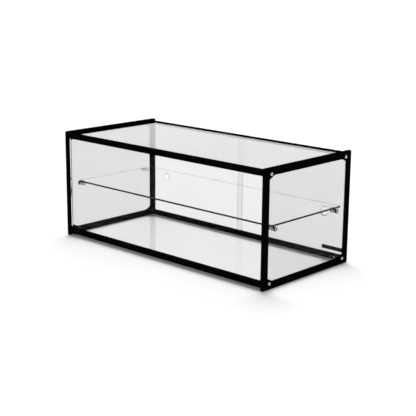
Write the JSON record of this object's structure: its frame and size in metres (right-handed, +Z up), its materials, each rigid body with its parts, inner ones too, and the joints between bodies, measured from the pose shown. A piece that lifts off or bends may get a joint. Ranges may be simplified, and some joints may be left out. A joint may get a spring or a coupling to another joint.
{
  "type": "tabletop display case",
  "caption": "Long low tabletop display case with black end frames and rails, clear glass on all sides, sliding rear glass doors with finger holes, and a loose glass shelf.",
  "frame": {"origin": "on the resting surface, at the middle of the case in plan", "axes": "+X along the case's length, +Y from the front to the sliding doors at the rear, +Z up"},
  "size_m": [0.9226, 0.432, 0.376],
  "materials": {
    "black_frame": "satin black powder coat",
    "clear_glass": "clear polished tempered glass",
    "steel": "polished stainless steel",
    "chrome": "bright chrome",
    "black_plastic": "matte black",
    "black_rubber": "matte black"
  },
  "bodies": {
    "case": {"end_frame_left": "black_frame", "end_frame_right": "black_frame", "end_pane_left": "clear_glass", "end_pane_right": "clear_glass", "end_pane_tape_left": "black_rubber", "end_pane_tape_right": "black_rubber", "rail_front_bottom": "black_frame", "rail_front_top": "black_frame", "rail_rear_bottom": "black_frame", "rail_rear_top": "black_frame", "corner_blocks_left": "black_frame", "corner_blocks_right": "black_frame", "block_screws": "steel", "frame_bolts_left": "steel", "frame_bolts_right": "steel", "bolt_washers_left": "black_plastic", "bolt_washers_right": "black_plastic", "front_glass": "clear_glass", "front_glass_gaskets": "black_rubber", "top_glass": "clear_glass", "top_glass_tape": "black_rubber", "base_glass": "clear_glass", "base_glass_tape": "black_rubber", "door_track_bottom": "black_plastic", "door_track_top": "black_plastic", "track_stops": "black_rubber", "shelf_studs": "chrome", "shelf_caps": "chrome", "shelf_washers": "black_rubber", "shelf_pads": "black_rubber"},
    "door_left": {"door_left": "clear_glass"},
    "door_right": {"door_right": "clear_glass", "label_plate": "black_plastic"},
    "shelf": {"shelf_glass": "clear_glass"}
  },
  "joints": [
    {"name": "door_left_slide", "type": "slide", "parent": "case", "child": "door_left", "axis": [1, 0, 0], "range_m": [0, 0.432]},
    {"name": "door_right_slide", "type": "slide", "parent": "case", "child": "door_right", "axis": [-1, 0, 0], "range_m": [0, 0.432]},
    {"name": "shelf_lift", "type": "slide", "parent": "case", "child": "shelf", "axis": [0, 0, 1], "range_m": [0, 0.1]}
  ]
}
